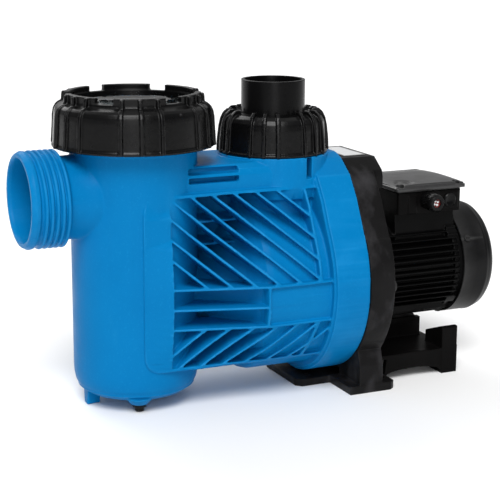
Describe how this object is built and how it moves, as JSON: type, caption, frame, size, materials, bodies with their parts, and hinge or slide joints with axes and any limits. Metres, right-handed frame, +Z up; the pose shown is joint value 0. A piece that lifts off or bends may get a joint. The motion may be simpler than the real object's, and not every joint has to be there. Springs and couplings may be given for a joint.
{
  "type": "pool pump",
  "caption": "Self-priming pool pump: blue strainer pot and ribbed volute, black lock ring, union and bell, finned motor with terminal box.",
  "frame": {"origin": "centre of the pump's footprint on the floor", "axes": "+X from the suction mouth to the motor's fan end, +Z up, the gland faces -Y"},
  "size_m": [0.59, 0.2432, 0.3686],
  "materials": {
    "blue_plastic": "fine-grained injection moulding",
    "black_plastic": "fine-grained injection moulding",
    "clear_lid": "clear moulding",
    "white_plastic": "satin moulding",
    "black_rubber": "matte",
    "red_rubber": "matte",
    "glass_filled_plastic": "satin",
    "stainless_steel": "bright",
    "carbon": "lapped",
    "ceramic": "lapped",
    "white_label": "printed film, left blank",
    "black_paint": "semi-gloss paint on aluminium",
    "lamination_steel": "stamped stack",
    "bearing_steel": "ground",
    "copper_winding": "varnished copper wire",
    "phenolic": "moulded"
  },
  "bodies": {
    "pump": {"strainer_pot": "blue_plastic", "volute_casing": "blue_plastic", "near_rib_panel": "blue_plastic", "far_rib_panel": "blue_plastic", "casing_o_ring": "black_rubber", "lid_o_ring": "black_rubber", "union_o_ring": "black_rubber", "drain_plug_seal": "black_rubber", "guide_ring": "black_plastic", "seal_cover": "black_plastic", "seal_seat": "ceramic", "bell_housing": "black_plastic", "motor_support": "black_plastic", "label_plate": "white_label", "motor_frame": "black_paint", "front_end_shield": "black_paint", "rear_end_shield": "black_paint", "front_bearing": "bearing_steel", "rear_bearing": "bearing_steel", "stator_core": "lamination_steel", "front_winding": "copper_winding", "rear_winding": "copper_winding", "fan_cover": "black_paint", "terminal_box": "black_paint", "terminal_gasket": "black_rubber", "terminal_block": "phenolic", "cable_gland_body": "black_plastic", "gland_seal": "red_rubber", "blanking_plug": "black_plastic", "casing_bolt_1": "stainless_steel", "casing_bolt_2": "stainless_steel", "casing_bolt_3": "stainless_steel", "casing_bolt_4": "stainless_steel", "casing_bolt_5": "stainless_steel", "casing_bolt_6": "stainless_steel", "cover_screw_1": "stainless_steel", "cover_screw_2": "stainless_steel", "cover_screw_3": "stainless_steel", "support_screw_1": "stainless_steel", "support_screw_2": "stainless_steel"},
    "rotor": {"motor_shaft": "stainless_steel", "rotor_core": "lamination_steel", "impeller": "glass_filled_plastic", "impeller_nut": "stainless_steel", "seal_head": "carbon", "seal_spring": "stainless_steel", "shaft_slinger": "black_rubber", "cooling_fan": "black_plastic"},
    "lid": {"pot_lid": "clear_lid"},
    "collar": {"lock_ring": "black_plastic"},
    "basket": {"strainer_basket": "white_plastic"},
    "stub": {"discharge_stub": "black_plastic"},
    "union_nut": {"discharge_union_nut": "black_plastic"},
    "drain_plug": {"pot_drain_plug": "black_plastic"},
    "clamp_nut": {"gland_nut": "black_plastic"},
    "box_lid": {"terminal_lid": "black_paint", "lid_screw_1": "stainless_steel", "lid_screw_2": "stainless_steel", "lid_screw_3": "stainless_steel", "lid_screw_4": "stainless_steel"}
  },
  "joints": [
    {"name": "rotor_spin", "type": "hinge", "parent": "pump", "child": "rotor", "pos_m": [0, 0, 0.132], "axis": [1, 0, 0], "continuous": true},
    {"name": "lid_lift", "type": "slide", "parent": "pump", "child": "lid", "axis": [0, 0, 1], "range_m": [0, 0.25]},
    {"name": "lock_ring_turn", "type": "hinge", "parent": "lid", "child": "collar", "pos_m": [-0.16, 0, 0.3014], "axis": [0, 0, 1], "range_deg": [0, 360]},
    {"name": "basket_lift", "type": "slide", "parent": "pump", "child": "basket", "axis": [0, 0, 1], "range_m": [0, 0.125]},
    {"name": "stub_lift", "type": "slide", "parent": "pump", "child": "stub", "axis": [0, 0, 1], "range_m": [0, 0.08]},
    {"name": "union_nut_turn", "type": "hinge", "parent": "stub", "child": "union_nut", "pos_m": [0.0157, 0, 0.2839], "axis": [0, 0, 1], "range_deg": [0, 360]},
    {"name": "drain_plug_turn", "type": "hinge", "parent": "pump", "child": "drain_plug", "pos_m": [-0.175, -0.05, 0.008], "axis": [0, 0, -1], "range_deg": [0, 360]},
    {"name": "gland_nut_turn", "type": "hinge", "parent": "pump", "child": "clamp_nut", "pos_m": [0.199, -0.0634, 0.2187], "axis": [0, -1, 0], "range_deg": [0, 360]},
    {"name": "box_lid_lift", "type": "slide", "parent": "pump", "child": "box_lid", "axis": [0, 0, 1], "range_m": [0, 0.06]}
  ],
  "couplings": [
    {"joint": "basket_lift", "follows": "lid_lift", "ratio": 0.5}
  ]
}
